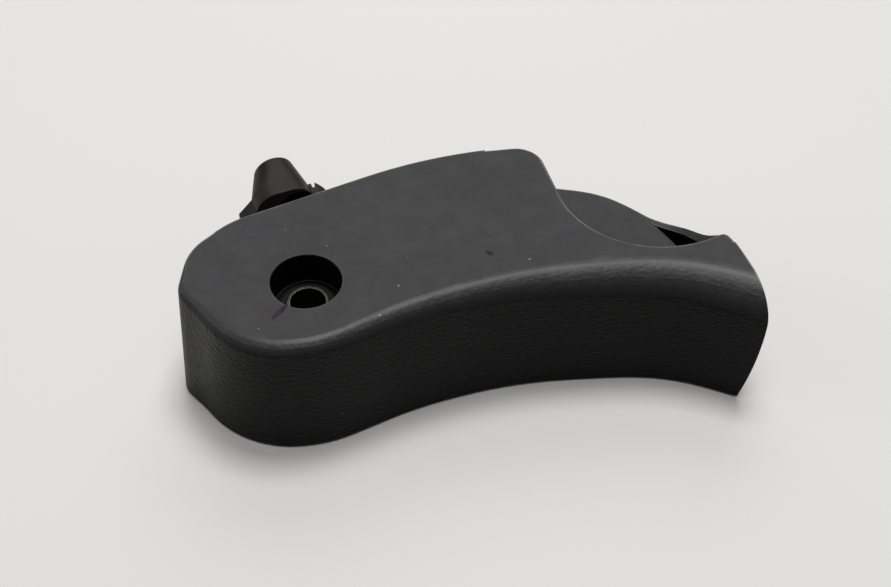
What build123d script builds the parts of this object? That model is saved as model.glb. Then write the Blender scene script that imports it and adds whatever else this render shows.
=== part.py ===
from build123d import *
import math
import os

"""A hood release handle: a moulded lever that turns on a fixed bearing bracket.

Frame: the origin lies on the pivot axis at the mounting face, +Z points out of the
panel along the pivot, +X runs along the grip and +Y points away from the driver.
All sizes are in millimetres and angles in degrees.
"""

# Height and walls of the handle
handle_height = 34.0
floor_gap = 0.6
wall = 2.4
top_wall = 2.5
edge_bevel = 0.4

# Far edge of the handle in plan, from the hub end to the corner above the grip
hub_end_centre = (-5.6, 0.7)
hub_end_radius = 22.1
hub_end_start = 135.6
far_line_slope = 25.8
far_line_length = 30.4
far_arc_radius = 110.0
far_arc_turn = 18.5

# Lower far edge, from the corner round the finger guard to the grip tip
guard_curve = [(60.0, 43.1), (70.0, 40.6), (79.0, 34.6), (86.0, 28.9), (91.3, 23.0), (94.4, 17.0)]
tip_point = (97.4, 12.4)
tip_way = (0.42, -0.91)
tip_radius = 1.5
guard_stations = 8

# Finger scoop in the far side
corner_point = (52.6, 44.2)
corner_radius = 6.7
scoop_slope = -69.5
scoop_low_point = (80.3, 10.9)
scoop_radius = 23.2
scoop_end_radius = 28.0
scoop_end_turn = 36.0
guard_level = 20.4
guard_wall = 2.3

# Rim that rises from the finger guard to the grip tip
rim_wall = 1.6
rim_set_back = 0.08
rim_start_x = 79.0
rim_profile = [(82.6, 20.9), (87.8, 23.1), (91.3, 26.1), (94.2, 30.4)]
rim_end_x = 97.0

# Well between the finger guard and the grip tip
well_start = (81.7, 31.2)
well_end = (86.1, 24.6)

# Foot of the near wall in plan, from the hub end round to the grip
near_left_curve = [(-28.7, 7.6), (-30.6, 1.2)]
facet_start = (-29.9, -4.5)
facet_end = (-22.0, -13.6)
hub_arc_middle = (-14.1, -19.1)
hub_low_point = (-5.0, -21.1)
shoulder_radius = 33.0
shoulder_turn = 28.0
shoulder_line = 8.0
grip_curve = [(36.0, -6.0), (52.0, -2.3), (66.0, -1.0), (78.0, -0.7), (88.0, -2.2), (97.5, -5.5)]
grip_end = (109.0, -10.2)
grip_end_slope = -23.0

# Roll between the top and the near wall: share of the way along the wall, then size
roll_stations = 30
roll_parts = 2
hollow_stations = 18
lead_angle = 118.0
lead_offsets = [(0.0, 0.9), (0.03, 0.25), (0.06, 0.0), (0.1, 0.0)]
roll_radii = [(0.0, 0.4), (0.09, 0.6), (0.17, 1.8), (0.26, 3.1), (0.42, 3.4), (0.58, 4.7), (0.8, 7.3), (1.0, 9.2)]
wall_drafts = [(0.0, 0.0), (0.06, 0.3), (0.14, 3.8), (0.23, 3.0), (0.33, 1.8), (0.52, 2.0), (0.76, 3.0), (1.0, 3.2)]
least_roll = 0.35
hollow_corner = 1.2
roll_lift = 0.01
blank_margin = 1.5
cutter_reach = 5.0
cutter_spare = 1.0

# End of the grip
end_axis = (-17.6, -36.4)
end_radius = 125.0
end_bulge_radius = 132.0
end_bulge_drop = 3.0
end_direction = 19.0
end_spread = 46.0

# Hub of the handle
counterbore_radius = 8.0
counterbore_depth = 8.5
hub_wall = 2.5
rim_chamfer = 0.2
running_clearance = 0.03
hub_foot_clearance = 0.6

# Opening in the skirt for the bracket arm and the cable
window_right = 77.0
window_left = 173.0
window_level = 27.0
window_inner_radius = 17.0
window_outer_radius = 50.0

# Ribs under the top
rib_thickness = 1.4
rib_depth = 6.0
grip_rib_places = [36.0, 54.0, 72.0, 88.0]
spine_rib = [(8.0, 3.0), (40.0, 18.0), (62.0, 9.0)]
hub_rib_angles = [262.0, 312.0, 345.0]
hub_rib_foot = 11.0

# Cable arm of the handle
arm_radius = 20.0
arm_angle = 30.0
arm_foot = 13.0
arm_boss_radius = 5.0
nipple_radius = 3.1
nipple_depth = 11.0
arm_web = 3.0
wire_slot = 2.0

# Bearing bracket
base_thickness = 3.0
base_radius = 16.0
hub_tube_radius = 6.2
bead_height = 0.25
bead_length = 0.7
bead_gap = 0.1
arm_half_width = 8.5
locating_hole_radius = 2.6
locating_hole_reach = 24.0

# Cable seat of the bracket, with places in it given across and below the cable
cable_drop = 12.0
seat_centre = (-8.2, 37.2)
seat_turn = 22.0
flange_left = 11.0
flange_right = 11.4
flange_front = 1.25
flange_back = 3.0
flange_rise = 0.5
flange_slope = 3.6
flange_corner = 3.0
flange_chamfer = 2.6
lug_slot_place = 8.3
lug_slot = 0.9
horn_front_centre = (-0.2, 1.0)
horn_front_size = (14.8, 10.8)
horn_end_centre = (0.6, 0.0)
horn_end_size = (10.2, 10.0)
horn_length = 10.5
mouth_centre = (2.9, 1.5)
mouth_radius = 4.6
mouth_depth = 3.0
sheath_radius = 3.1
sheath_depth = 7.0
wire_hole_radius = 1.2
wire_groove = 1.2
wire_groove_length = 4.5
wire_groove_depth = 1.5
gusset_thickness = 2.0
gusset_reach = 5.0
gusset_height = 14.0

# Travel stops between the handle and the bracket
travel = 45.0
stop_angle = 215.0
stop_inner_radius = 12.6
stop_outer_radius = 15.4
stop_height = 5.0
stop_half_width = 6.6
stop_gap = 1.4
stop_fin_foot_clearance = 0.8

# Pivot sleeve
sleeve_radius = 4.9
sleeve_bore_radius = 4.15
sleeve_stand = 1.5
sleeve_chamfer = 0.25


def polar(radius, angle, centre=(0.0, 0.0)):
    """A point in plan at a radius and an angle from a centre."""
    turn = math.radians(angle)
    return (centre[0] + radius * math.cos(turn), centre[1] + radius * math.sin(turn))


def table_slope(table, index):
    """The slope of a table of places and sizes at one of its rows."""
    before = table[max(index - 1, 0)]
    after = table[min(index + 1, len(table) - 1)]
    return (after[1] - before[1]) / (after[0] - before[0])


def from_table(table, share):
    """A size read off the smooth curve through a short table of places and sizes."""
    row = len(table) - 2
    while row > 0 and share < table[row][0]:
        row -= 1
    low, first = table[row]
    high, second = table[row + 1]
    width = high - low
    step = min(max((share - low) / width, 0.0), 1.0)
    lift = (second - first) * step * step * (3.0 - 2.0 * step)
    leave = table_slope(table, row) * width * step * (1.0 - step) ** 2
    arrive = table_slope(table, row + 1) * width * step * step * (1.0 - step)
    return first + lift + leave - arrive


def near_wall_line():
    """The foot of the near wall as one smooth path in plan."""
    lead_start = polar(hub_end_radius, lead_angle, hub_end_centre)
    lead_middle = polar(hub_end_radius, (lead_angle + hub_end_start) / 2.0, hub_end_centre)
    start = polar(hub_end_radius, hub_end_start, hub_end_centre)
    lead = ThreePointArc(lead_start, lead_middle, start)
    leaving = polar(1.0, hub_end_start + 90.0)
    facet_way = (facet_end[0] - facet_start[0], facet_end[1] - facet_start[1])
    rise = polar(1.0, shoulder_turn)
    hub_end = Spline(start, *near_left_curve, facet_start, tangents=[leaving, facet_way])
    facet = Line(facet_start, facet_end)
    hub_arc = ThreePointArc(facet_end, hub_arc_middle, hub_low_point)
    shoulder = JernArc(hub_low_point, (1.0, 0.0), shoulder_radius, shoulder_turn)
    straight = Line(shoulder @ 1, (shoulder @ 1) + Vector(*rise) * shoulder_line)
    grip = Spline(straight @ 1, *grip_curve, grip_end, tangents=[rise, polar(1.0, grip_end_slope)])
    return Wire([lead, hub_end, facet, hub_arc, shoulder, straight, grip])


near_path = near_wall_line()
lead_share = math.radians(hub_end_start - lead_angle) * hub_end_radius / near_path.length


def station(share, out=0.0):
    """A point at a share of the near wall's foot, moved outward, and its outward normal."""
    tangent = near_path.tangent_at(share)
    normal = Vector(tangent.Y, -tangent.X, 0.0)
    return near_path.position_at(share) + normal * out, normal


def roll_section(share, inset):
    """What lies outside the near wall and its roll at one station; inside, the roll is flats."""
    draft = math.radians(from_table(wall_drafts, share))
    least = hollow_corner if inset else least_roll
    radius = max(from_table(roll_radii, share) - inset, least)
    top = handle_height + roll_lift - (top_wall if inset else 0.0)
    foot, normal = station(share, from_table(lead_offsets, share))
    level = top - radius
    centre = -inset / math.cos(draft) - level * math.tan(draft) - radius / math.cos(draft)
    step = (math.pi / 2.0 - draft) / roll_parts
    guide = radius * 4.0 / 3.0 * math.tan(step / 4.0)

    def at(out, height):
        return foot + normal * out + Vector(0.0, 0.0, height)

    points = []
    guides = []
    for index in range(roll_parts + 1):
        angle = math.pi / 2.0 - step * index
        points.append(at(centre + radius * math.cos(angle), level + radius * math.sin(angle)))
        guides.append((normal * math.sin(angle) - Vector(0.0, 0.0, math.cos(angle))) * guide)
    roll = []
    for first, second, leave, arrive in zip(points, points[1:], guides, guides[1:]):
        roll.append(Line(first, second) if inset else Bezier(first, first + leave, second - arrive, second))
    base = -inset / math.cos(draft) + cutter_spare * math.tan(draft)
    wall_foot = at(base, -cutter_spare)
    outer_foot = at(cutter_reach, -cutter_spare)
    outer_top = at(cutter_reach, handle_height + cutter_spare)
    inner_top = at(centre, handle_height + cutter_spare)
    rest = Polyline(points[-1], wall_foot, outer_foot, outer_top, inner_top, points[0])
    return make_face(Wire([*roll, *rest.edges()]))


def near_cutter(inset=0.0):
    """The tool that forms the near wall and the roll that grows towards the grip."""
    count = hollow_stations if inset else roll_stations
    return loft([roll_section(index / count, inset) for index in range(count + 1)])


def inward(path, share, inset):
    """A point on a path moved into the handle, to the right of the way the path runs."""
    tangent = path.tangent_at(share)
    return path.position_at(share) + Vector(tangent.Y, -tangent.X) * inset


def far_outline(inset=0.0):
    """The far edge and the finger guard's edge down to the grip tip, as edges in plan."""
    radius = hub_end_radius - inset
    tangent_angle = 90.0 + far_line_slope
    hub_start = polar(radius, hub_end_start, hub_end_centre)
    hub_middle = polar(radius, (hub_end_start + tangent_angle) / 2.0, hub_end_centre)
    line_start = polar(radius, tangent_angle, hub_end_centre)
    hub = ThreePointArc(hub_start, hub_middle, line_start)
    slope = polar(1.0, far_line_slope)
    line = Line(line_start, Vector(*line_start) + Vector(*slope) * far_line_length)
    bow = JernArc(line @ 1, slope, far_arc_radius - inset, -far_arc_turn)
    outward = polar(inset, far_line_slope - far_arc_turn + 90.0)
    guard_start = (bow @ 1) + Vector(*outward)
    guard = Spline(guard_start, *guard_curve, tip_point, tangents=[bow % 1, tip_way])
    if inset:
        shares = [index / guard_stations for index in range(1, guard_stations + 1)]
        moved = [inward(guard, share, inset) for share in shares]
        guard = Spline(bow @ 1, *moved, tangents=[bow % 1, guard % 1])
    return [hub, line, bow, guard]


def blank_plan(inset=0.0):
    """The full plan of the handle, with spare stock beyond the near wall and the grip end."""
    far = far_outline(inset)
    first = 1 + round(roll_stations * lead_share)
    shares = [index / roll_stations for index in range(first, roll_stations + 1)]
    margin = [station(share, blank_margin - inset)[0] for share in shares]
    near = Spline(far[0] @ 0, *margin)
    beyond = (near @ 1).X
    close = Polyline(near @ 1, (beyond, tip_point[1]), far[-1] @ 1)
    return make_face(Wire([*far, near, *close.edges()]))


def scoop_plan(inset=0.0):
    """The plan of the finger scoop: all that lies beyond the corner and the scoop edge."""
    far_slope = far_line_slope - far_arc_turn
    turn = far_slope - scoop_slope
    along = Vector(*polar(1.0, far_slope))
    run = Vector(*polar(1.0, scoop_slope))
    reach = corner_radius * math.tan(math.radians(turn) / 2.0)
    centre = Vector(*corner_point) - along * reach + Vector(*polar(corner_radius, far_slope - 90.0))
    start = centre + Vector(*polar(corner_radius - inset, far_slope + 90.0))
    finish = centre + Vector(*polar(corner_radius - inset, scoop_slope + 90.0))
    scoop_centre = (scoop_low_point[0], scoop_low_point[1] + scoop_radius)
    scoop_start = polar(scoop_radius + inset, scoop_slope - 90.0, scoop_centre)
    lead_in = Line(start - along * corner_radius, start)
    rounding = JernArc(start, along, corner_radius - inset, -turn)
    fall = Line(finish, scoop_start)
    scoop = JernArc(scoop_start, run, scoop_radius + inset, -scoop_slope)
    lip = JernArc(scoop @ 1, (1.0, 0.0), scoop_end_radius + inset, scoop_end_turn)
    beyond = scoop_end_radius * 2.0
    close = Polyline(lip @ 1, (lip @ 1) + Vector(beyond, beyond), (lead_in @ 0) + Vector(0.0, beyond), lead_in @ 0)
    return make_face(Wire([lead_in, rounding, fall, scoop, lip, *close.edges()]))


def end_cutter(inset=0.0):
    """What lies beyond the end of the grip: a tall barrel face turned about one axis."""
    radius = end_radius - inset
    bulge = end_bulge_radius
    bulge_level = handle_height - end_bulge_drop

    def out(height):
        return radius - bulge + math.sqrt(bulge ** 2 - (height - bulge_level) ** 2)

    low = -cutter_spare
    high = handle_height + cutter_spare
    middle = (low + high) / 2.0
    side = ThreePointArc((out(low), low), (out(middle), middle), (out(high), high))
    far = radius + handle_height
    close = Polyline(side @ 1, (far, high), (far, low), side @ 0)
    profile = Plane.XZ * make_face([side, *close.edges()])
    turned = revolve(profile, Axis.Z, revolution_arc=end_spread)
    start = end_direction - end_spread / 2.0
    return Pos(end_axis[0], end_axis[1], 0.0) * Rot(0.0, 0.0, start) * turned


def sector(inner, outer, start, finish):
    """A ring sector in plan between two radii and two angles."""
    middle = (start + finish) / 2.0
    outer_arc = ThreePointArc(polar(outer, start), polar(outer, middle), polar(outer, finish))
    inner_arc = ThreePointArc(polar(inner, finish), polar(inner, middle), polar(inner, start))
    return make_face([outer_arc, Line(outer_arc @ 1, inner_arc @ 0), inner_arc, Line(inner_arc @ 1, outer_arc @ 0)])


def slab(start, finish, thickness, low, high):
    """An upright rib between two points in plan."""
    first = Vector(*start)
    along = Vector(*finish) - first
    turn = math.degrees(math.atan2(along.Y, along.X))
    middle = first + along * 0.5
    rib = Box(along.length, thickness, high - low)
    return Pos(middle.X, middle.Y, (low + high) / 2.0) * Rot(0.0, 0.0, turn) * rib


def column(radius, low, high, centre=(0.0, 0.0)):
    """An upright cylinder between two levels."""
    return Pos(centre[0], centre[1], (low + high) / 2.0) * Cylinder(radius, high - low)


underside = handle_height - top_wall
counterbore_floor = handle_height - counterbore_depth
hub_radius = counterbore_radius + hub_wall
bearing_radius = hub_tube_radius + running_clearance
hub_foot = base_thickness + hub_foot_clearance
stop_fin_foot = base_thickness + stop_fin_foot_clearance
nipple_point = polar(arm_radius, arm_angle)
cable_level = handle_height - cable_drop
flange_top = cable_level + flange_rise


def rim():
    """The thin rim that climbs from the finger guard to the grip tip."""
    strip = blank_plan(rim_set_back) - blank_plan(rim_wall)
    wall_solid = extrude(strip, handle_height - edge_bevel)
    low = guard_level - cutter_spare
    crest = Spline((rim_start_x, guard_level - rim_set_back), *rim_profile, (rim_end_x, handle_height))
    close = Polyline(crest @ 1, (rim_end_x, low), (rim_start_x, low), crest @ 0)
    side = Plane.XZ * make_face([crest, *close.edges()])
    far_half = Pos(0.0, tip_point[1] - cutter_spare, 0.0) * extrude(side, -handle_height)
    return wall_solid & far_half


def well():
    """The plan of the well between the finger guard and the grip tip."""
    start = Vector(*well_start)
    finish = Vector(*well_end)
    along = (finish - start).normalized()
    side = Vector(-along.Y, along.X) * scoop_radius * 2.0
    low = finish + along * scoop_radius
    high = start - along * scoop_radius
    beyond = make_face(Polyline(low, high, high + side, low + side, close=True))
    inside = blank_plan(rim_wall)
    return (scoop_plan() & beyond) & inside


def kept_inside():
    """All that stands inside the hollow of the handle: hub, cable arm, stop fin and ribs."""
    top = handle_height - top_wall / 2.0
    rib_foot = underside - rib_depth
    hub = column(hub_radius, hub_foot, top)
    arm = column(arm_boss_radius, arm_foot, top, nipple_point)
    arm += slab(polar(hub_radius, arm_angle), nipple_point, arm_web, arm_foot, top)
    fin = slab((0.0, 0.0), polar(stop_outer_radius, stop_angle), rib_thickness * 2.0, stop_fin_foot, top)
    fin += slab((0.0, 0.0), polar(window_outer_radius, stop_angle), rib_thickness, hub_rib_foot, top)
    kept = [hub, arm, fin]
    for angle in hub_rib_angles:
        kept.append(slab((0.0, 0.0), polar(window_outer_radius, angle), rib_thickness, hub_rib_foot, top))
    reach = handle_height * 2.0
    for place in grip_rib_places:
        kept.append(slab((place, -reach), (place, reach), rib_thickness, rib_foot, top))
    for start, finish in zip(spine_rib, spine_rib[1:]):
        kept.append(slab(start, finish, rib_thickness, rib_foot, top))
    return kept


def handle():
    """The lever: top, near wall, finger scoop and guard, hub and cable arm in one moulding."""
    plan = blank_plan()
    top_plan = plan - scoop_plan()
    lip_end = top_plan.vertices().sort_by_distance(tip_point)[1]
    top_plan = fillet(lip_end, tip_radius)
    upper = Pos(0.0, 0.0, guard_level) * extrude(top_plan, handle_height - guard_level)
    upper = chamfer(upper.edges().group_by(Axis.Z)[-1], edge_bevel)
    body = Pos(0.0, 0.0, floor_gap) * extrude(plan, guard_level - floor_gap)
    body += upper
    body += rim()
    body -= end_cutter()
    body -= near_cutter()

    upper_plan = blank_plan(wall) - scoop_plan(wall)
    lower_plan = blank_plan(wall)
    low = -cutter_spare
    hollow = Pos(0.0, 0.0, low) * extrude(upper_plan, underside - low)
    hollow += Pos(0.0, 0.0, low) * extrude(lower_plan, guard_level - guard_wall - low)
    hollow -= end_cutter(wall)
    hollow -= near_cutter(wall)
    for piece in kept_inside():
        hollow -= piece
    body -= hollow

    body -= extrude(well(), guard_level + cutter_spare) - end_cutter(wall)
    window = sector(window_inner_radius, window_outer_radius, window_right, window_left)
    body -= extrude(window, window_level)
    body -= column(counterbore_radius, counterbore_floor, handle_height + cutter_spare)
    mouth = Cone(counterbore_radius, counterbore_radius + rim_chamfer, rim_chamfer)
    body -= Pos(0.0, 0.0, handle_height - rim_chamfer / 2.0) * mouth
    body -= column(bearing_radius, low, handle_height)
    body -= column(nipple_radius, arm_foot - cutter_spare, arm_foot + nipple_depth, nipple_point)
    way = (Vector(*seat_centre) - Vector(*nipple_point)).normalized()
    pocket_top = arm_foot + nipple_depth
    for reach, width in ((arm_boss_radius, wire_slot), (-arm_boss_radius, nipple_radius * 2.0)):
        beyond = Vector(*nipple_point) + way * (reach + math.copysign(cutter_spare, reach))
        body -= slab(nipple_point, (beyond.X, beyond.Y), width, arm_foot - cutter_spare, pocket_top)
    return body


seat_plane = Plane(
    origin=(seat_centre[0], seat_centre[1], cable_level),
    x_dir=(*polar(1.0, seat_turn), 0.0),
    z_dir=(*polar(1.0, seat_turn + 90.0), 0.0),
)
seat_angle = math.degrees(math.atan2(seat_centre[1], seat_centre[0]))


def seat_place(across, back, level=0.0):
    """A place given across and behind the cable seat, at a height above the mounting face."""
    turned = Pos(seat_centre[0], seat_centre[1], level) * Rot(0.0, 0.0, seat_turn)
    return turned * Pos(across, back, 0.0)


def seat_flange():
    """The upright flange that carries the cable seat, with its snap lug and gussets."""
    depth = flange_front + flange_back
    low_left = (-flange_left, flange_top - flange_slope)
    high_left = (flange_slope - flange_left, flange_top)
    outline = make_face(
        Polyline((-flange_left, 0.0), (flange_right, 0.0), (flange_right, flange_top), high_left, low_left, close=True)
    )
    corner = outline.vertices().group_by(Axis.Y)[-1].sort_by(Axis.X)[-1]
    outline = fillet(corner, flange_corner)
    plate = extrude(Plane.XZ * outline, depth / 2.0, both=True)
    plate = seat_place(0.0, (flange_back - flange_front) / 2.0) * plate
    slot = Box(lug_slot, flange_back, flange_top)
    plate -= seat_place(lug_slot_place, flange_back, flange_top / 2.0 + base_thickness) * slot
    bevel = Rot(0.0, 0.0, 45.0) * Box(flange_chamfer * math.sqrt(2.0), flange_chamfer * math.sqrt(2.0), flange_top)
    plate -= seat_place(flange_right, flange_back, flange_top / 2.0 + base_thickness) * bevel
    side = make_face(Polyline((0.0, 0.0), (-gusset_reach, 0.0), (0.0, gusset_height), close=True))
    gusset = extrude(Plane.YZ * side, gusset_thickness / 2.0, both=True)
    sink = flange_front / 2.0
    for across in (gusset_thickness - flange_left, flange_right - gusset_thickness):
        plate += seat_place(across, -sink, base_thickness - sink) * gusset
    return plate


def cable_horn():
    """The tapering horn behind the flange that holds the end of the cable sheath."""
    foot = seat_plane.offset(flange_back) * Pos(*horn_front_centre) * SlotOverall(*horn_front_size)
    end = seat_plane.offset(horn_length) * Pos(*horn_end_centre) * SlotOverall(*horn_end_size)
    return extrude(foot, -flange_front - flange_back) + loft([foot, end], ruled=True)


def seat_bores():
    """The mouth, the wire hole and its groove, and the socket of the cable seat."""
    mouth_floor = mouth_depth - flange_front
    front = seat_plane.offset(-flange_front - cutter_spare)
    mouth = extrude(front * Pos(*mouth_centre) * Circle(mouth_radius), mouth_depth + cutter_spare)
    hole = extrude(front * Circle(wire_hole_radius), horn_length + flange_front + cutter_spare * 2.0)
    groove_shape = Pos(wire_groove_length / 2.0, 0.0) * Rectangle(wire_groove_length, wire_groove)
    groove = extrude(front * groove_shape, mouth_floor + flange_front + cutter_spare + wire_groove_depth)
    socket = extrude(seat_plane.offset(horn_length - sheath_depth) * Circle(sheath_radius), sheath_depth * 2.0)
    return [mouth, hole, groove, socket]


def bearing_bracket():
    """The fixed bracket: base, hub tube, travel stops and the seat of the cable."""
    base = column(base_radius, 0.0, base_thickness)
    sides = [polar(arm_half_width, seat_angle - 90.0), polar(arm_half_width, seat_angle + 90.0)]
    left = seat_place(-flange_left, flange_back - flange_chamfer / 2.0).position
    right = seat_place(flange_right, flange_back - flange_chamfer).position
    arm = make_face(Polyline(sides[0], sides[1], (left.X, left.Y), (right.X, right.Y), close=True))
    body = base + extrude(arm, base_thickness)
    tube_top = counterbore_floor + bead_gap + bead_length
    body += column(hub_tube_radius, base_thickness / 2.0, tube_top)
    bead = Cone(hub_tube_radius + bead_height, hub_tube_radius, bead_length)
    body += Pos(0.0, 0.0, tube_top - bead_length / 2.0) * bead
    both_stops = stop_half_width * 2.0 + stop_gap
    for angle in (stop_angle + both_stops, stop_angle - travel - both_stops):
        stop = sector(stop_inner_radius, stop_outer_radius, angle - stop_half_width, angle + stop_half_width)
        body += Pos(0.0, 0.0, base_thickness / 2.0) * extrude(stop, base_thickness / 2.0 + stop_height)
    body += seat_flange()
    body += cable_horn()
    for bore in seat_bores():
        body -= bore
    body -= column(sleeve_radius, -cutter_spare, handle_height)
    body -= column(locating_hole_radius, -cutter_spare, base_thickness * 2.0, polar(locating_hole_reach, seat_angle))
    return body


def pivot_sleeve():
    """The steel sleeve pressed into the hub tube, through which the fixing bolt passes."""
    top = counterbore_floor + sleeve_stand
    sleeve = column(sleeve_radius, 0.0, top)
    sleeve = chamfer(sleeve.edges().filter_by(GeomType.CIRCLE), sleeve_chamfer)
    return sleeve - column(sleeve_bore_radius, -cutter_spare, top + cutter_spare)


def main():
    """Builds each piece and writes it under its own name."""
    os.makedirs("parts", exist_ok=True)
    export_step(handle(), "parts/handle.step")
    export_step(bearing_bracket(), "parts/bearing_bracket.step")
    export_step(pivot_sleeve(), "parts/pivot_sleeve.step")


if __name__ == "__main__":
    main()
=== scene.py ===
"""The looks of a hood release handle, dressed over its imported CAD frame.

Everything is in metres in the frame of the CAD part: the origin lies on the pivot
axis at the mounting face, +Z points out along the pivot, +X runs along the grip
and +Y points away from the driver.
"""

import logging
import math
from dataclasses import dataclass, field
from enum import Enum
from typing import Any

import bpy
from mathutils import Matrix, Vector


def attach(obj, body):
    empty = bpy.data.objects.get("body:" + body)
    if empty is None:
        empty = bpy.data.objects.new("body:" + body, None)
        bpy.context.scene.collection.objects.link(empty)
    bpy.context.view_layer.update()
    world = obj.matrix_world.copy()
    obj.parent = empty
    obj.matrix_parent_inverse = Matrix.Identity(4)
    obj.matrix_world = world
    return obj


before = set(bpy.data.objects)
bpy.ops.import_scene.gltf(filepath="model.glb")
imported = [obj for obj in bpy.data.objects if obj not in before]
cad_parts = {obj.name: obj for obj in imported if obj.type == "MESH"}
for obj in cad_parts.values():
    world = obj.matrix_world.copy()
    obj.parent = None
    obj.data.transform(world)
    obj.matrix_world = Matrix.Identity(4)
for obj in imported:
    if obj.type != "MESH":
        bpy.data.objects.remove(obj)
LOG = logging.getLogger("hood_release_handle")
BEVEL_SAMPLES = 4
SOFT_EDGE = 0.0003

Point = tuple[float, float, float]
Colour = tuple[float, float, float]


class Body(Enum):
    """The rigid bodies of the part that pieces can ride on."""

    BRACKET = "bracket"
    HANDLE = "handle"


class Socket(Enum):
    """The kinds of socket that the node groups and trees have."""

    VALUE = "NodeSocketFloat"
    COUNT = "NodeSocketInt"
    VECTOR = "NodeSocketVector"
    GEOMETRY = "NodeSocketGeometry"


@dataclass(frozen=True)
class Step:
    """A smooth step between two limits of a value.

    The step gives `start` at and before `low`, and `finish` at and past `high`.
    """

    low: float
    high: float
    start: float = 0.0
    finish: float = 1.0


@dataclass(frozen=True)
class Cloud:
    """A noise pattern: the size of its features in metres, its octaves and their strength."""

    size: float
    detail: float = 2.0
    roughness: float = 0.5


class Sketch:
    """A node tree that is being drawn, with short calls for its nodes and links."""

    def __init__(self, tree: bpy.types.NodeTree) -> None:
        """Starts on a tree.

        Args:
            tree: The material's or group's node tree.
        """
        self.tree = tree

    def node(
        self, kind: str, inputs: dict[Any, Any] | None = None, **settings: Any
    ) -> bpy.types.Node:
        """Adds a node, sets its properties and fills or links its inputs.

        Args:
            kind: The node's type name.
            inputs: Values or output sockets by input name or index.
            settings: Properties of the node.

        Returns:
            The new node.
        """
        made = self.tree.nodes.new(kind)
        for name, value in settings.items():
            setattr(made, name, value)
        for key, value in (inputs or {}).items():
            self.feed(made.inputs[key], value)
        return made

    def feed(self, socket: bpy.types.NodeSocket, value: Any) -> None:
        """Links an output socket to an input, or sets the input's own value.

        Args:
            socket: The input.
            value: An output socket or a plain value.
        """
        if isinstance(value, bpy.types.NodeSocket):
            self.tree.links.new(value, socket)
        else:
            socket.default_value = value

    def maths(self, operation: str, *values: Any, clamp: bool = False) -> bpy.types.NodeSocket:
        """Adds a Math node.

        Args:
            operation: The Math node's operation.
            values: Its operands.
            clamp: Whether the result is kept between 0 and 1.

        Returns:
            The node's value.
        """
        inputs = dict(enumerate(values))
        made = self.node("ShaderNodeMath", inputs, operation=operation, use_clamp=clamp)
        return made.outputs[0]

    def product(self, first: Any, *more: Any, clamp: bool = False) -> bpy.types.NodeSocket:
        """Multiplies two or more values.

        Args:
            first: The first value.
            more: The values to multiply it by, in order.
            clamp: Whether each result is kept between 0 and 1.

        Returns:
            The product.
        """
        total = first
        for value in more:
            total = self.maths("MULTIPLY", total, value, clamp=clamp)
        return total

    def vector(self, operation: str, *values: Any, **named: Any) -> bpy.types.NodeSocket:
        """Adds a Vector Math node.

        Args:
            operation: The node's operation.
            values: Its operands.
            named: Operands that go in by name.

        Returns:
            The node's value where the operation gives a number, and its vector otherwise.
        """
        inputs = {**dict(enumerate(values)), **named}
        made = self.node("ShaderNodeVectorMath", inputs, operation=operation)
        return made.outputs["Value" if operation in ("LENGTH", "DOT_PRODUCT") else "Vector"]

    def ramp(self, value: Any, step: Step) -> bpy.types.NodeSocket:
        """Reads a value as a smooth step.

        Args:
            value: The value to read.
            step: The step's limits and results.

        Returns:
            The stepped value.
        """
        inputs = {
            "Value": value,
            "From Min": step.low,
            "From Max": step.high,
            "To Min": step.start,
            "To Max": step.finish,
        }
        made = self.node("ShaderNodeMapRange", inputs, interpolation_type="SMOOTHSTEP")
        return made.outputs[0]

    def mix(
        self, share: Any, first: Any, second: Any, blend: str = "MIX"
    ) -> bpy.types.NodeSocket:
        """Mixes two colours.

        Args:
            share: How much of the second colour shows.
            first: The colour at no share.
            second: The colour at full share.
            blend: The blend type.

        Returns:
            The mixed colour.
        """
        made = self.node("ShaderNodeMix", data_type="RGBA", blend_type=blend)
        for index, value in ((0, share), (6, first), (7, second)):
            self.feed(made.inputs[index], opaque(value))
        return made.outputs[2]

    def noise(self, place: Any, cloud: Cloud) -> bpy.types.NodeSocket:
        """Adds a Noise texture.

        Args:
            place: The place that it reads.
            cloud: The pattern.

        Returns:
            The noise's value.
        """
        inputs = {
            "Vector": place,
            "Scale": 1.0 / cloud.size,
            "Detail": cloud.detail,
            "Roughness": cloud.roughness,
        }
        return self.node("ShaderNodeTexNoise", inputs).outputs["Fac"]

    def radius(self, place: Any) -> bpy.types.NodeSocket:
        """The distance of a place from the pivot axis."""
        return self.vector("LENGTH", self.vector("MULTIPLY", place, (1.0, 1.0, 0.0)))

    def rounded(self, radius: Any) -> bpy.types.NodeSocket:
        """The surface's normal with its edges rounded by a radius."""
        return self.node("ShaderNodeBevel", {"Radius": radius}, samples=BEVEL_SAMPLES).outputs[0]


def opaque(value: Any) -> Any:
    """Adds the alpha to a colour of three numbers.

    Args:
        value: A colour, or any other input value.

    Returns:
        The colour with its alpha, or the other value as it is.
    """
    if isinstance(value, tuple) and len(value) == 3:
        return (*value, 1.0)
    return value


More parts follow.
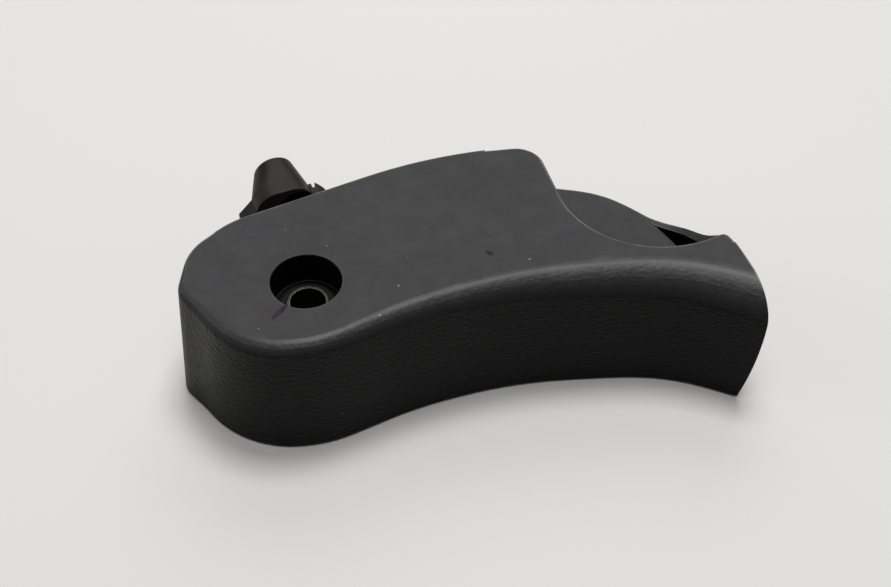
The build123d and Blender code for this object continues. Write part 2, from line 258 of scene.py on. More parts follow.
class EffectGroup:
    """A shader node group that several finishes share."""

    name: str = "effect"
    takes: tuple[tuple[str, Socket, Any], ...] = ()
    gives: tuple[tuple[str, Socket], ...] = ()

    def __init__(self) -> None:
        """Builds the group's sockets and its nodes."""
        self.tree = bpy.data.node_groups.new(self.name, "ShaderNodeTree")
        face = self.tree.interface
        for label, kind, value in self.takes:
            made = face.new_socket(name=label, in_out="INPUT", socket_type=kind.value)
            if value is not None:
                made.default_value = value
        for label, kind in self.gives:
            face.new_socket(name=label, in_out="OUTPUT", socket_type=kind.value)
        sketch = Sketch(self.tree)
        ins = sketch.node("NodeGroupInput").outputs
        outs = sketch.node("NodeGroupOutput").inputs
        self.draw(sketch, ins, outs)

    def draw(self, sketch: Sketch, ins: Any, outs: Any) -> None:
        """Draws the effect between the group's input and output sockets.

        Args:
            sketch: The group's sketch.
            ins: The group's input sockets.
            outs: The group's output sockets.
        """
        raise NotImplementedError

    def place(self, sketch: Sketch, **values: Any) -> bpy.types.NodeSocket:
        """Puts the group into a material.

        Args:
            sketch: The material's sketch.
            values: The inputs by name, with underscores for spaces.

        Returns:
            The group's result.
        """
        made = sketch.node("ShaderNodeGroup")
        made.node_tree = self.tree
        for label, value in values.items():
            sketch.feed(made.inputs[label.replace("_", " ")], value)
        return made.outputs[0]


class MouldedGrain(EffectGroup):
    """The leather grain that is etched into a mould: wrinkled cells with rounded tops."""

    name = "moulded_grain"
    takes = (
        ("Vector", Socket.VECTOR, None),
        ("Cell", Socket.VALUE, 0.0009),
        ("Stretch", Socket.VALUE, 1.6),
    )
    gives = (("Height", Socket.VALUE),)
    mid_grey: Colour = (0.5, 0.5, 0.5)
    bend_detail: float = 2.0
    bend_reach: float = 1.1
    dome: Step = Step(0.1, 0.75, 1.0, 0.0)
    wrinkle_detail: float = 3.0
    wrinkle_roughness: float = 0.6
    wrinkle_share: float = 0.55

    def draw(self, sketch: Sketch, ins: Any, outs: Any) -> None:
        """Draws wrinkled cells from a bent Voronoi and a finer noise.

        Args:
            sketch: The group's sketch.
            ins: The group's input sockets.
            outs: The group's output sockets.
        """
        along = sketch.maths("DIVIDE", 1.0, ins["Stretch"])
        squash = sketch.node("ShaderNodeCombineXYZ", {"X": along, "Y": 1.0, "Z": 1.0}).outputs[0]
        placed = sketch.vector("MULTIPLY", ins["Vector"], squash)
        density = sketch.maths("DIVIDE", 1.0, ins["Cell"])
        bend = sketch.node(
            "ShaderNodeTexNoise",
            {"Vector": placed, "Scale": density, "Detail": self.bend_detail},
        ).outputs["Color"]
        centred = sketch.vector("SUBTRACT", bend, self.mid_grey)
        reach = sketch.maths("MULTIPLY", ins["Cell"], self.bend_reach)
        bent = sketch.vector("ADD", placed, sketch.vector("SCALE", centred, Scale=reach))
        cells = sketch.node(
            "ShaderNodeTexVoronoi",
            {"Vector": bent, "Scale": density, "Randomness": 1.0},
            feature="SMOOTH_F1",
        ).outputs["Distance"]
        wrinkle = sketch.node(
            "ShaderNodeTexNoise",
            {
                "Vector": bent,
                "Scale": density,
                "Detail": self.wrinkle_detail,
                "Roughness": self.wrinkle_roughness,
            },
        ).outputs["Fac"]
        domes = sketch.ramp(cells, self.dome)
        fine = sketch.maths("MULTIPLY", wrinkle, self.wrinkle_share)
        sketch.feed(outs["Height"], sketch.maths("ADD", domes, fine))


class DustSpecks(EffectGroup):
    """Small pale specks scattered over a surface."""

    name = "dust_specks"
    takes = (
        ("Vector", Socket.VECTOR, None),
        ("Spacing", Socket.VALUE, 0.006),
        ("Size", Socket.VALUE, 0.03),
    )
    gives = (("Mask", Socket.VALUE),)
    empty_share: float = 0.45

    def draw(self, sketch: Sketch, ins: Any, outs: Any) -> None:
        """Draws one small dot in some of the cells of a Voronoi.

        Args:
            sketch: The group's sketch.
            ins: The group's input sockets.
            outs: The group's output sockets.
        """
        density = sketch.maths("DIVIDE", 1.0, ins["Spacing"])
        cells = sketch.node(
            "ShaderNodeTexVoronoi",
            {"Vector": ins["Vector"], "Scale": density, "Randomness": 1.0},
        ).outputs
        parts = sketch.node("ShaderNodeSeparateColor", {"Color": cells["Color"]}).outputs
        reach = sketch.maths("MULTIPLY", ins["Size"], parts[0])
        near = sketch.maths("LESS_THAN", cells["Distance"], reach)
        chosen = sketch.maths("GREATER_THAN", parts[1], self.empty_share)
        sketch.feed(outs["Mask"], sketch.maths("MULTIPLY", near, chosen))


class EdgeWearAndHighlight(EffectGroup):
    """Where the outside edges of a moulding are worn and carry a painted highlight, with breaks
    along the edge.
    """

    name = "edge_wear_and_highlight"
    takes = (
        ("Vector", Socket.VECTOR, None),
        ("Width", Socket.VALUE, 0.0005),
        ("Break size", Socket.VALUE, 0.004),
    )
    gives = (("Mask", Socket.VALUE),)
    edge: Step = Step(0.93, 0.992, 1.0, 0.0)
    break_detail: float = 4.0
    broken: Step = Step(0.3, 0.6, 0.35, 1.0)

    def draw(self, sketch: Sketch, ins: Any, outs: Any) -> None:
        """Compares the rounded normal with the true one and breaks the result up.

        Args:
            sketch: The group's sketch.
            ins: The group's input sockets.
            outs: The group's output sockets.
        """
        true = sketch.node("ShaderNodeNewGeometry").outputs["Normal"]
        agree = sketch.vector("DOT_PRODUCT", sketch.rounded(ins["Width"]), true)
        density = sketch.maths("DIVIDE", 1.0, ins["Break size"])
        breaks = sketch.node(
            "ShaderNodeTexNoise",
            {"Vector": ins["Vector"], "Scale": density, "Detail": self.break_detail},
        ).outputs["Fac"]
        masked = sketch.maths(
            "MULTIPLY", sketch.ramp(agree, self.edge), sketch.ramp(breaks, self.broken)
        )
        sketch.feed(outs["Mask"], masked)


@dataclass(frozen=True)
class Effects:
    """The shared node groups, built once."""

    grain: MouldedGrain
    dust: DustSpecks
    wear_and_highlight: EdgeWearAndHighlight


@dataclass(frozen=True)
class Finish:
    """A finish that becomes one material on a Principled shader."""

    name: str = "finish"

    def material(self, effects: Effects) -> bpy.types.Material:
        """Builds the material.

        Args:
            effects: The shared node groups.

        Returns:
            The finished material.
        """
        made = bpy.data.materials.new(self.name)
        made.use_nodes = True
        made.node_tree.nodes.clear()
        sketch = Sketch(made.node_tree)
        place = sketch.node("ShaderNodeTexCoord").outputs["Object"]
        shader = sketch.node("ShaderNodeBsdfPrincipled", self.surface(sketch, place, effects))
        sketch.node("ShaderNodeOutputMaterial", {"Surface": shader.outputs[0]})
        return made

    def surface(self, sketch: Sketch, place: Any, effects: Effects) -> dict[str, Any]:
        """Draws what the shader reads.

        Args:
            sketch: The material's sketch.
            place: The object coordinates.
            effects: The shared node groups.

        Returns:
            The shader's inputs by name.
        """
        raise NotImplementedError


@dataclass(frozen=True)
class ColourPatch:
    """A patch of colour on a surface, for a mark of use and for a painted shadow: an ellipse that
    is turned about +Z.
    """

    centre: Point
    reach: Point
    turn: float
    colour: Colour
    strength: float


@dataclass(frozen=True)
class GrainedPlastic(Finish):
    """Black moulded plastic with a fine leather grain, as on the handle.

    A pale layer lies on what faces up, outside the recess: part dust, part painted light that
    makes the top lighter than the walls, while the recess stays dark as in shade. The roll along
    the near edge is glossier than the walls, and the grain is weak on the flat top. The upper
    edges carry a painted highlight with their wear, and a painted shadow of the wire lies beside
    the hub's hole.
    """

    name: str = "grained_black_plastic"
    colour: Colour = (0.0034, 0.0034, 0.0038)
    recess_radius: float = 0.0081

    # Pale layer on what faces up: dust, and painted light that lightens the top against the
    # walls.
    dust_and_top_light_colour: Colour = (0.06, 0.06, 0.063)
    dust_and_top_light_share: float = 0.78
    dust_and_top_light_slope: Step = Step(0.15, 0.98)
    dust_and_top_light_cloud: Cloud = Cloud(0.02, 4.0, 0.55)
    dust_and_top_light_gain: float = 0.42
    dust_and_top_light_base: float = 0.68
    dust_and_top_light_edge: float = 0.0002
    mottle_cloud: Cloud = Cloud(0.0045, 3.0, 0.6)
    mottle: Step = Step(0.3, 0.7, 0.9, 1.1)

    # Upper edges: wear with a painted highlight along them.
    wear_and_highlight_colour: Colour = (0.3, 0.3, 0.29)
    wear_and_highlight_width: float = 0.0006
    wear_and_highlight_breaks: float = 0.009
    wear_and_highlight_slope: Step = Step(0.8, 0.97)
    wear_and_highlight_clear: Step = Step(0.0091, 0.0111, 0.25, 1.0)
    rim_past: Step = Step(0.082, 0.083)
    rim_below: Step = Step(0.0206, 0.0216, 1.0, 0.0)

    dust_colour: Colour = (0.32, 0.31, 0.28)
    speck_spacing: float = 0.0042
    speck_size: float = 0.055
    mote_spacing: float = 0.0024
    mote_size: float = 0.04
    mote_share: float = 0.4

    roughness: float = 0.38
    dust_and_top_light_matt: float = 0.06
    matt_cloud: Cloud = Cloud(0.013, 3.0)
    matt_gain: float = 0.1
    matt_base: float = -0.05
    specular: float = 0.1
    gloss: float = 0.34
    gloss_rough: float = 0.36
    roll_slope: Step = Step(0.1, 0.6)
    top_slope: Step = Step(0.96, 1.0, 1.0, 0.35)

    grain_cell: float = 0.00075
    grain_stretch: float = 1.7
    grain_depth: float = 0.00014
    grain_strength: float = 0.75
    grain_slope: Step = Step(0.9, 0.995, 1.0, 0.3)
    sag_cloud: Cloud = Cloud(0.009)
    sag_share: float = 0.35

    mark_cloud: Cloud = Cloud(0.0011, 4.0, 0.7)
    mark_ragged: float = 0.9
    mark_edge: tuple[float, float] = (1.1, 1.55)
    marks: tuple[ColourPatch, ...] = (
        # Painted shadow of the wire beside the hole: a dark purple streak.
        ColourPatch(
            centre=(-0.0053, -0.0092, 0.034), reach=(0.0029, 0.00075, 0.004), turn=54.0,
            colour=(0.007, 0.0012, 0.009), strength=1.0,
        ),
        # Painted shadow of the wire: its fainter purple spread.
        ColourPatch(
            centre=(-0.0069, -0.0088, 0.034), reach=(0.0028, 0.0022, 0.004), turn=56.0,
            colour=(0.04, 0.028, 0.044), strength=0.45,
        ),
        ColourPatch(
            centre=(0.0665, 0.0068, 0.033), reach=(0.0026, 0.0011, 0.004), turn=18.0,
            colour=(0.075, 0.066, 0.07), strength=0.6,
        ),
        ColourPatch(
            centre=(0.0412, 0.0086, 0.034), reach=(0.0011, 0.0006, 0.004), turn=-35.0,
            colour=(0.002, 0.002, 0.002), strength=0.9,
        ),
    )

    def surface(self, sketch: Sketch, place: Any, effects: Effects) -> dict[str, Any]:
        """Draws what the shader reads.

        Args:
            sketch: The material's sketch.
            place: The object coordinates.
            effects: The shared node groups.

        Returns:
            The shader's inputs by name.
        """
        normal = sketch.node("ShaderNodeTexCoord").outputs["Normal"]
        facing = sketch.node("ShaderNodeSeparateXYZ", {"Vector": normal}).outputs["Z"]
        radius = sketch.radius(place)
        # Pale layer on what faces up: dust and painted top light.
        dust_and_top_light = self.dust_and_top_light_mask(sketch, place, facing, radius)

        colour = self.mottled(sketch, place, sketch.mix(dust_and_top_light, self.colour, self.dust_and_top_light_colour))
        # Marks of use, and the painted shadow of the wire.
        for mark in self.marks:
            colour = sketch.mix(self.mark_mask(sketch, place, mark), colour, mark.colour)
        # Upper edges lightened: wear and a painted highlight.
        lit_and_worn_edges = self.wear_and_highlight_mask(sketch, place, facing, radius, effects.wear_and_highlight)
        colour = sketch.mix(lit_and_worn_edges, colour, self.wear_and_highlight_colour)
        colour = sketch.mix(self.dust_mask(sketch, place, effects.dust), colour, self.dust_colour)

        matt = sketch.maths("MULTIPLY_ADD", dust_and_top_light, self.dust_and_top_light_matt, self.roughness)
        cloud = sketch.noise(place, self.matt_cloud)
        uneven = sketch.maths("MULTIPLY_ADD", cloud, self.matt_gain, self.matt_base)
        rolled = sketch.product(
            sketch.ramp(facing, self.roll_slope), sketch.ramp(facing, self.top_slope)
        )
        return {
            "Base Color": colour,
            "Roughness": sketch.maths("ADD", matt, uneven, clamp=True),
            "Normal": self.relief(sketch, place, facing, effects.grain),
            "Specular IOR Level": self.specular,
            "Coat Weight": sketch.product(rolled, self.gloss),
            "Coat Roughness": self.gloss_rough,
        }

    def dust_and_top_light_mask(
        self, sketch: Sketch, place: Any, facing: Any, radius: Any
    ) -> bpy.types.NodeSocket:
        """Draws the pale layer on what faces up: dust and painted top light, kept out of the
        recess, which stays dark as in shade.

        Args:
            sketch: The material's sketch.
            place: The object coordinates.
            facing: How far the surface faces up.
            radius: The distance from the pivot axis.

        Returns:
            The film's mask.
        """
        cloud = sketch.noise(place, self.dust_and_top_light_cloud)
        even = sketch.maths("MULTIPLY_ADD", cloud, self.dust_and_top_light_gain, self.dust_and_top_light_base)
        edge = Step(self.recess_radius, self.recess_radius + self.dust_and_top_light_edge)
        upward = sketch.ramp(facing, self.dust_and_top_light_slope)
        lit_and_dusty = sketch.product(upward, even, sketch.ramp(radius, edge))
        return sketch.product(lit_and_dusty, self.dust_and_top_light_share, clamp=True)

    def mottled(self, sketch: Sketch, place: Any, colour: Any) -> bpy.types.NodeSocket:
        """Makes a colour a little lighter and darker in patches.

        Args:
            sketch: The material's sketch.
            place: The object coordinates.
            colour: The even colour.

        Returns:
            The mottled colour.
        """
        level = sketch.ramp(sketch.noise(place, self.mottle_cloud), self.mottle)
        grey = sketch.node("ShaderNodeCombineColor", {0: level, 1: level, 2: level}).outputs[0]
        return sketch.mix(1.0, colour, grey, "MULTIPLY")

    def mark_mask(self, sketch: Sketch, place: Any, mark: ColourPatch) -> bpy.types.NodeSocket:
        """Draws where one mark lies, with a broken outline.

        Args:
            sketch: The material's sketch.
            place: The object coordinates.
            mark: The mark.

        Returns:
            The mark's mask.
        """
        inputs = {
            "Vector": place,
            "Location": mark.centre,
            "Rotation": (0.0, 0.0, math.radians(mark.turn)),
            "Scale": mark.reach,
        }
        local = sketch.node("ShaderNodeMapping", inputs, vector_type="TEXTURE").outputs[0]
        away = sketch.vector("LENGTH", local)
        broken = sketch.noise(place, self.mark_cloud)
        edge = sketch.maths("MULTIPLY_ADD", broken, self.mark_ragged, away)
        return sketch.ramp(edge, Step(*self.mark_edge, mark.strength, 0.0))

    def wear_and_highlight_mask(
        self, sketch: Sketch, place: Any, facing: Any, radius: Any, wear_and_highlight: EdgeWearAndHighlight
    ) -> bpy.types.NodeSocket:
        """Draws the wear and the painted highlight on the upper edges, but for the ledge under
        the guard's rim.

        Args:
            sketch: The material's sketch.
            place: The object coordinates.
            facing: How far the surface faces up.
            radius: The distance from the pivot axis.
            wear_and_highlight: The group of worn edges with their painted highlight.

        Returns:
            The rubbed edges' mask.
        """
        edges = wear_and_highlight.place(sketch, Vector=place, Width=self.wear_and_highlight_width, Break_size=self.wear_and_highlight_breaks)
        above = sketch.ramp(facing, self.wear_and_highlight_slope)
        clear = sketch.ramp(radius, self.wear_and_highlight_clear)
        axes = sketch.node("ShaderNodeSeparateXYZ", {"Vector": place}).outputs
        past = sketch.ramp(axes["X"], self.rim_past)
        below = sketch.ramp(axes["Z"], self.rim_below)
        kept = sketch.maths("SUBTRACT", 1.0, sketch.product(past, below))
        return sketch.product(edges, above, sketch.product(clear, kept))

    def dust_mask(self, sketch: Sketch, place: Any, dust: DustSpecks) -> bpy.types.NodeSocket:
        """Draws the pale specks and the finer, fainter motes between them.

        Args:
            sketch: The material's sketch.
            place: The object coordinates.
            dust: The specks' group.

        Returns:
            The dust's mask.
        """
        specks = dust.place(
            sketch, Vector=place, Spacing=self.speck_spacing, Size=self.speck_size
        )
        motes = dust.place(sketch, Vector=place, Spacing=self.mote_spacing, Size=self.mote_size)
        return sketch.maths("MAXIMUM", specks, sketch.product(motes, self.mote_share))

    def relief(
        self, sketch: Sketch, place: Any, facing: Any, grain: MouldedGrain
    ) -> bpy.types.NodeSocket:
        """Draws the grain and the moulding's slight sag.

        Args:
            sketch: The material's sketch.
            place: The object coordinates.
            facing: How far the surface faces up.
            grain: The grain's group.

        Returns:
            The surface's normal.
        """
        cells = grain.place(
            sketch, Vector=place, Cell=self.grain_cell, Stretch=self.grain_stretch
        )
        masked = sketch.product(cells, sketch.ramp(facing, self.grain_slope))
        sag = sketch.product(sketch.noise(place, self.sag_cloud), self.sag_share)
        inputs = {
            "Height": sketch.maths("ADD", masked, sag),
            "Strength": self.grain_strength,
            "Distance": self.grain_depth,
            "Normal": sketch.rounded(SOFT_EDGE),
        }
        return sketch.node("ShaderNodeBump", inputs).outputs[0]


@dataclass(frozen=True)
class MouldedNylon(Finish):
    """Smooth black nylon with a faint olive cast, as on the bearing bracket."""

    name: str = "smooth_black_nylon"
    colour: Colour = (0.0105, 0.0107, 0.0075)
    warm_colour: Colour = (0.022, 0.0185, 0.0125)
    flow_cloud: Cloud = Cloud(0.011, 3.0)
    warm_flow: Step = Step(0.35, 0.7)

    # Painted shade in the recess round the pivot: darker inside the bore.
    recess_shade_colour: Colour = (0.0018, 0.0015, 0.0013)
    recess: Step = Step(0.0085, 0.0095, 1.0, 0.0)

    wear_and_highlight_colour: Colour = (0.07, 0.068, 0.058)
    wear_and_highlight_width: float = 0.0004
    wear_and_highlight_breaks: float = 0.003
    wear_and_highlight_share: float = 0.3

    dust_colour: Colour = (0.3, 0.29, 0.25)
    speck_spacing: float = 0.0045
    speck_size: float = 0.035

    ripple_cloud: Cloud = Cloud(0.0022)
    pit_cloud: Cloud = Cloud(0.0003)
    pit_share: float = 0.3
    relief_depth: float = 0.00005
    relief_strength: float = 0.3
    matt_flow: Step = Step(0.3, 0.75, 0.42, 0.54)
    specular: float = 0.22

    def surface(self, sketch: Sketch, place: Any, effects: Effects) -> dict[str, Any]:
        """Draws what the shader reads.

        Args:
            sketch: The material's sketch.
            place: The object coordinates.
            effects: The shared node groups.

        Returns:
            The shader's inputs by name.
        """
        flow = sketch.noise(place, self.flow_cloud)
        colour = sketch.mix(sketch.ramp(flow, self.warm_flow), self.colour, self.warm_colour)
        # Painted shade darkens the recess round the pivot.
        shaded_inside = sketch.ramp(sketch.radius(place), self.recess)
        colour = sketch.mix(shaded_inside, colour, self.recess_shade_colour)
        # Lighter edges: wear with a painted highlight.
        wear_and_highlight = effects.wear_and_highlight.place(
            sketch, Vector=place, Width=self.wear_and_highlight_width, Break_size=self.wear_and_highlight_breaks
        )
        colour = sketch.mix(sketch.product(wear_and_highlight, self.wear_and_highlight_share), colour, self.wear_and_highlight_colour)
        specks = effects.dust.place(
            sketch, Vector=place, Spacing=self.speck_spacing, Size=self.speck_size
        )
        colour = sketch.mix(specks, colour, self.dust_colour)

        ripple = sketch.noise(place, self.ripple_cloud)
        pits = sketch.noise(place, self.pit_cloud)
        relief = {
            "Height": sketch.maths("MULTIPLY_ADD", pits, self.pit_share, ripple),
            "Strength": self.relief_strength,
            "Distance": self.relief_depth,
            "Normal": sketch.rounded(SOFT_EDGE),
        }
        return {
            "Base Color": colour,
            "Roughness": sketch.ramp(flow, self.matt_flow),
            "Normal": sketch.node("ShaderNodeBump", relief).outputs[0],
            "Specular IOR Level": self.specular,
        }


@dataclass(frozen=True)
class ZincSteel(Finish):
    """Turned steel with a thin zinc plating, as on the pivot sleeve."""

    name: str = "zinc_plated_steel"
    colour: Colour = (0.075, 0.07, 0.062)
    dull_colour: Colour = (0.035, 0.031, 0.026)
    stain_cloud: Cloud = Cloud(0.0028, 4.0, 0.6)
    dull_stain: Step = Step(0.42, 0.7)

    speck_spacing: float = 0.003
    speck_size: float = 0.05
    speck_share: float = 0.5

    wear_and_highlight_colour: Colour = (0.42, 0.41, 0.39)
    wear_and_highlight_width: float = 0.00018
    wear_and_highlight_breaks: float = 0.002

    groove_pitch: float = 0.00035
    groove_depth: float = 0.00002
    groove_strength: float = 0.25
    matt_stain: Step = Step(0.3, 0.75, 0.36, 0.58)

    def surface(self, sketch: Sketch, place: Any, effects: Effects) -> dict[str, Any]:
        """Draws what the shader reads.

        Args:
            sketch: The material's sketch.
            place: The object coordinates.
            effects: The shared node groups.

        Returns:
            The shader's inputs by name.
        """
        stain = sketch.noise(place, self.stain_cloud)
        colour = sketch.mix(sketch.ramp(stain, self.dull_stain), self.colour, self.dull_colour)
        specks = effects.dust.place(
            sketch, Vector=place, Spacing=self.speck_spacing, Size=self.speck_size
        )
        colour = sketch.mix(sketch.product(specks, self.speck_share), colour, self.dull_colour)
        # Pale edges: wear with a painted glint.
        wear_and_highlight = effects.wear_and_highlight.place(
            sketch, Vector=place, Width=self.wear_and_highlight_width, Break_size=self.wear_and_highlight_breaks
        )
        colour = sketch.mix(wear_and_highlight, colour, self.wear_and_highlight_colour)

        level = sketch.node("ShaderNodeSeparateXYZ", {"Vector": place}).outputs["Z"]
        turned = sketch.maths("ADD", sketch.radius(place), level)
        phase = sketch.product(turned, math.tau / self.groove_pitch)
        relief = {
            "Height": sketch.maths("SINE", phase),
            "Strength": self.groove_strength,
            "Distance": self.groove_depth,
        }
        return {
            "Base Color": colour,
            "Roughness": sketch.ramp(stain, self.matt_stain),
            "Metallic": 1.0,
            "Normal": sketch.node("ShaderNodeBump", relief).outputs[0],
        }


def dress(piece: bpy.types.Object, material: bpy.types.Material) -> None:
    """Gives a piece one material in place of what it had."""
    piece.data.materials.clear()
    piece.data.materials.append(material)


def add_to_scene(name: str, data: Any) -> bpy.types.Object:
    """Makes an object of some data and links it to the scene.

    Args:
        name: The object's name.
        data: Its mesh, lamp or lens.

    Returns:
        The new object.
    """
    made = bpy.data.objects.new(name, data)
    bpy.context.scene.collection.objects.link(made)
    return made


def plain_mesh(source: bpy.types.Object, name: str) -> bpy.types.Object:
    """Turns an object's evaluated result into a plain mesh object and removes the source.

    Args:
        source: An object with live modifiers.
        name: The new object's name.

    Returns:
        The plain object.
    """
    graph = bpy.context.evaluated_depsgraph_get()
    mesh = bpy.data.meshes.new_from_object(source.evaluated_get(graph), depsgraph=graph)
    mesh.name = name
    made = add_to_scene(name, mesh)
    bpy.data.objects.remove(source)
    return made


@dataclass
class HandleMoulding:
    """The handle's moulding and the ejector marks on the underside of its top."""

    finish: GrainedPlastic = field(default_factory=GrainedPlastic)
    mark_radius: float = 0.0024
    mark_lift: float = 0.00018
    mark_level: float = 0.0315
    mark_sides: int = 40
    mark_seed: int = 7
    mark_spread: tuple[float, float] = (0.85, 1.1)
    mark_places: tuple[tuple[float, float], ...] = (
        (-0.0195, 0.004),
        (0.0, -0.0135),
        (0.0285, 0.006),
        (0.0285, 0.028),
        (0.045, 0.032),
        (0.045, 0.012),
        (0.062, 0.0135),
    )

    def build(self, effects: Effects) -> list[bpy.types.Object]:
        """Dresses the handle and adds its marks.

        Args:
            effects: The shared node groups.

        Returns:
            The pieces of the handle.
        """
        material = self.finish.material(effects)
        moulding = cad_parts["handle"]
        dress(moulding, material)
        marks = self.ejector_marks(material)
        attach(marks, Body.HANDLE.value)
        return [moulding, marks]

    def ejector_marks(self, material: bpy.types.Material) -> bpy.types.Object:
        """Makes the shallow round marks that the mould's ejector pins leave.

        Args:
            material: The handle's finish.

        Returns:
            The marks as one plain mesh.
        """
        level = self.mark_level - self.mark_lift / 2.0
        places = bpy.data.meshes.new("mark_places")
        places.from_pydata([(x, y, level) for x, y in self.mark_places], [], [])
        carrier = add_to_scene("mark_places", places)
        modifier = carrier.modifiers.new("marks", "NODES")
        modifier.node_group = self.mark_tree(material)
        wanted = {
            "Radius": self.mark_radius,
            "Depth": self.mark_lift,
            "Sides": self.mark_sides,
            "Seed": self.mark_seed,
        }
        for item in modifier.node_group.interface.items_tree:
            if item.in_out == "INPUT" and item.name in wanted:
                modifier[item.identifier] = wanted[item.name]
        return plain_mesh(carrier, "ejector_marks")

    def mark_tree(self, material: bpy.types.Material) -> bpy.types.NodeTree:
        """Builds the tree that puts one shallow disc on each point.

        Args:
            material: The discs' finish.

        Returns:
            The geometry node tree.
        """
        tree = bpy.data.node_groups.new("ejector_marks", "GeometryNodeTree")
        tree.is_modifier = True
        takes = (
            ("Geometry", Socket.GEOMETRY),
            ("Radius", Socket.VALUE),
            ("Depth", Socket.VALUE),
            ("Sides", Socket.COUNT),
            ("Seed", Socket.COUNT),
        )
        for label, kind in takes:
            tree.interface.new_socket(name=label, in_out="INPUT", socket_type=kind.value)
        tree.interface.new_socket(
            name="Geometry", in_out="OUTPUT", socket_type=Socket.GEOMETRY.value
        )
        sketch = Sketch(tree)
        ins = sketch.node("NodeGroupInput").outputs
        disc = sketch.node(
            "GeometryNodeMeshCylinder",
            {"Vertices": ins["Sides"], "Radius": ins["Radius"], "Depth": ins["Depth"]},
            fill_type="NGON",
        ).outputs["Mesh"]
        least, most = self.mark_spread
        spread = sketch.node(
            "FunctionNodeRandomValue", {2: least, 3: most, "Seed": ins["Seed"]}, data_type="FLOAT"
        ).outputs[1]
        set_on = sketch.node(
            "GeometryNodeInstanceOnPoints",
            {"Points": ins["Geometry"], "Instance": disc, "Scale": spread},
        ).outputs["Instances"]
        real = sketch.node("GeometryNodeRealizeInstances", {"Geometry": set_on}).outputs[0]
        coated = sketch.node(
            "GeometryNodeSetMaterial", {"Geometry": real, "Material": material}
        ).outputs[0]
        sketch.node("NodeGroupOutput", {0: coated})
        return tree


@dataclass
class BearingBracket:
    """The fixed bracket under the handle."""

    finish: MouldedNylon = field(default_factory=MouldedNylon)

    def build(self, effects: Effects) -> list[bpy.types.Object]:
        """Dresses the bracket.

        Args:
            effects: The shared node groups.

        Returns:
            The pieces of the bracket.
        """
        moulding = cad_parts["bearing_bracket"]
        dress(moulding, self.finish.material(effects))
        return [moulding]


@dataclass
class PivotSleeve:
    """The steel sleeve in the hub tube."""

    finish: ZincSteel = field(default_factory=ZincSteel)

    def build(self, effects: Effects) -> list[bpy.types.Object]:
        """Dresses the sleeve.

        Args:
            effects: The shared node groups.

        Returns:
            The pieces of the sleeve.
        """
        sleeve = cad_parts["pivot_sleeve"]
        dress(sleeve, self.finish.material(effects))
        return [sleeve]


@dataclass(frozen=True)
class SoftBox:
    """A rectangular lamp of the studio, turned towards a point."""

    name: str
    place: Point
    aim: Point
    width: float
    height: float
    watts: float
    colour: Colour

    def build(self) -> None:
        """Makes the lamp and turns it towards its aim."""
        lamp = bpy.data.lights.new(self.name, "AREA")
        lamp.shape = "RECTANGLE"
        lamp.size = self.width
        lamp.size_y = self.height
        lamp.energy = self.watts
        lamp.color = self.colour
        made = add_to_scene(self.name, lamp)
        made.location = self.place
        way = Vector(self.aim) - Vector(self.place)
        made.rotation_euler = way.to_track_quat("-Z", "Y").to_euler()


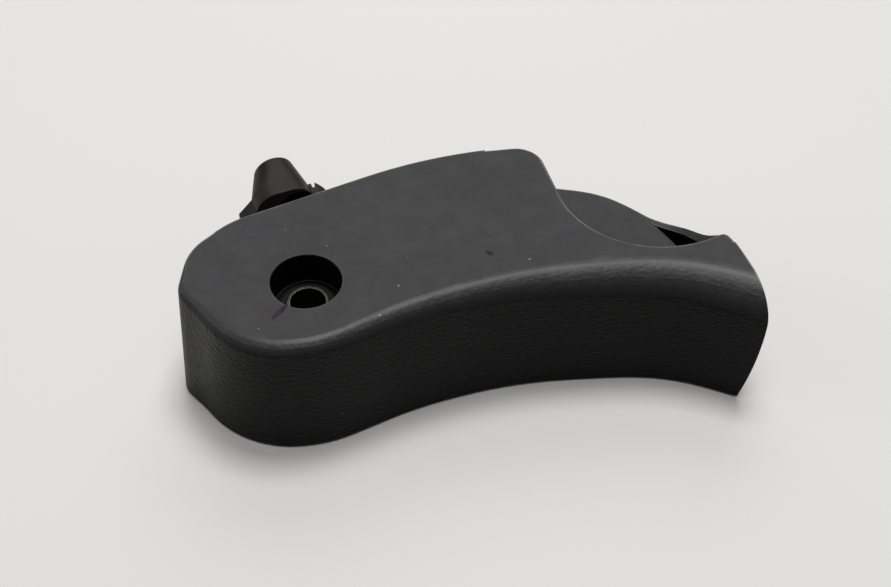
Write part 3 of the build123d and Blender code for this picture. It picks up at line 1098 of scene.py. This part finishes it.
@dataclass
class Studio:
    """The floor, the lamps, the world and the camera."""

    camera_place: Point = (0.03121678, -0.24180427, 0.30071805)
    camera_pitch: float = 48.25
    focal_pixels: float = 1608.75
    picture_width: float = 891.0
    sensor: float = 36.0
    clip_start: float = 0.01

    floor_reach: float = 3.0
    floor_colour: Colour = (0.78, 0.77, 0.745)
    floor_rough: float = 0.62
    floor_specular: float = 0.2
    far_glow: Step = Step(0.3, 1.4, 0.0, 0.85)

    world_colour: Colour = (0.96, 0.98, 1.0)
    world_level: float = 0.12
    lamps: tuple[SoftBox, ...] = (
        SoftBox(
            "back_window", place=(0.06, 0.78, 0.74), aim=(0.04, 0.0, 0.0),
            width=0.95, height=0.6, watts=2.8, colour=(0.98, 0.99, 1.0),
        ),
        SoftBox(
            "ceiling", place=(0.1, 0.24, 1.1), aim=(0.04, 0.0, 0.0),
            width=0.4, height=0.3, watts=6.4, colour=(1.0, 0.995, 0.985),
        ),
        SoftBox(
            "hall", place=(0.05, -0.2, 1.14), aim=(0.04, 0.0, 0.0),
            width=0.5, height=0.3, watts=2.9, colour=(1.0, 0.995, 0.985),
        ),
        SoftBox(
            "left_wall", place=(-0.8, 0.05, 0.42), aim=(0.0, 0.0, 0.0),
            width=0.5, height=0.4, watts=0.8, colour=(1.0, 1.0, 0.98),
        ),
    )

    def build(self) -> None:
        """Sets the stage up."""
        self.floor()
        self.world()
        for lamp in self.lamps:
            lamp.build()
        self.camera()
        bpy.context.scene.view_settings.view_transform = "Standard"

    def floor(self) -> None:
        """Makes the pale floor that the part lies on, which stays pale far away."""
        signs = ((-1, -1), (1, -1), (1, 1), (-1, 1))
        rim = [(x * self.floor_reach, y * self.floor_reach, 0.0) for x, y in signs]
        mesh = bpy.data.meshes.new("floor")
        mesh.from_pydata(rim, [], [(0, 1, 2, 3)])
        made = add_to_scene("floor", mesh)
        material = bpy.data.materials.new("pale_floor")
        material.use_nodes = True
        sketch = Sketch(material.node_tree)
        place = sketch.node("ShaderNodeTexCoord").outputs["Object"]
        far = sketch.ramp(sketch.vector("LENGTH", place), self.far_glow)
        seen = sketch.node("ShaderNodeLightPath").outputs["Is Camera Ray"]
        wanted = {
            "Base Color": opaque(self.floor_colour),
            "Roughness": self.floor_rough,
            "Specular IOR Level": self.floor_specular,
            "Emission Color": opaque(self.floor_colour),
            "Emission Strength": sketch.product(far, seen),
        }
        shader = material.node_tree.nodes["Principled BSDF"]
        for label, value in wanted.items():
            sketch.feed(shader.inputs[label], value)
        dress(made, material)

    def world(self) -> None:
        """Fills the room with an even, pale light."""
        world = bpy.data.worlds.new("room")
        world.use_nodes = True
        back = world.node_tree.nodes["Background"]
        back.inputs["Color"].default_value = opaque(self.world_colour)
        back.inputs["Strength"].default_value = self.world_level
        bpy.context.scene.world = world

    def camera(self) -> None:
        """Puts the camera at the photograph's place and angle."""
        lens = bpy.data.cameras.new("camera")
        lens.sensor_fit = "HORIZONTAL"
        lens.sensor_width = self.sensor
        lens.lens = self.sensor * self.focal_pixels / self.picture_width
        lens.clip_start = self.clip_start
        made = add_to_scene("camera", lens)
        made.location = self.camera_place
        made.rotation_euler = (math.radians(90.0 - self.camera_pitch), 0.0, 0.0)
        bpy.context.scene.camera = made


def main() -> None:
    """Builds the looks."""
    logging.basicConfig(level=logging.INFO, format="%(message)s")
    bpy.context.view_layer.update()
    effects = Effects(MouldedGrain(), DustSpecks(), EdgeWearAndHighlight())
    for assembly in (HandleMoulding(), BearingBracket(), PivotSleeve()):
        for piece in assembly.build(effects):
            faces = len(piece.data.polygons)
            LOG.info("%s: %s with %d faces", type(assembly).__name__, piece.name, faces)
    Studio().build()


if __name__ == "__main__":
    main()
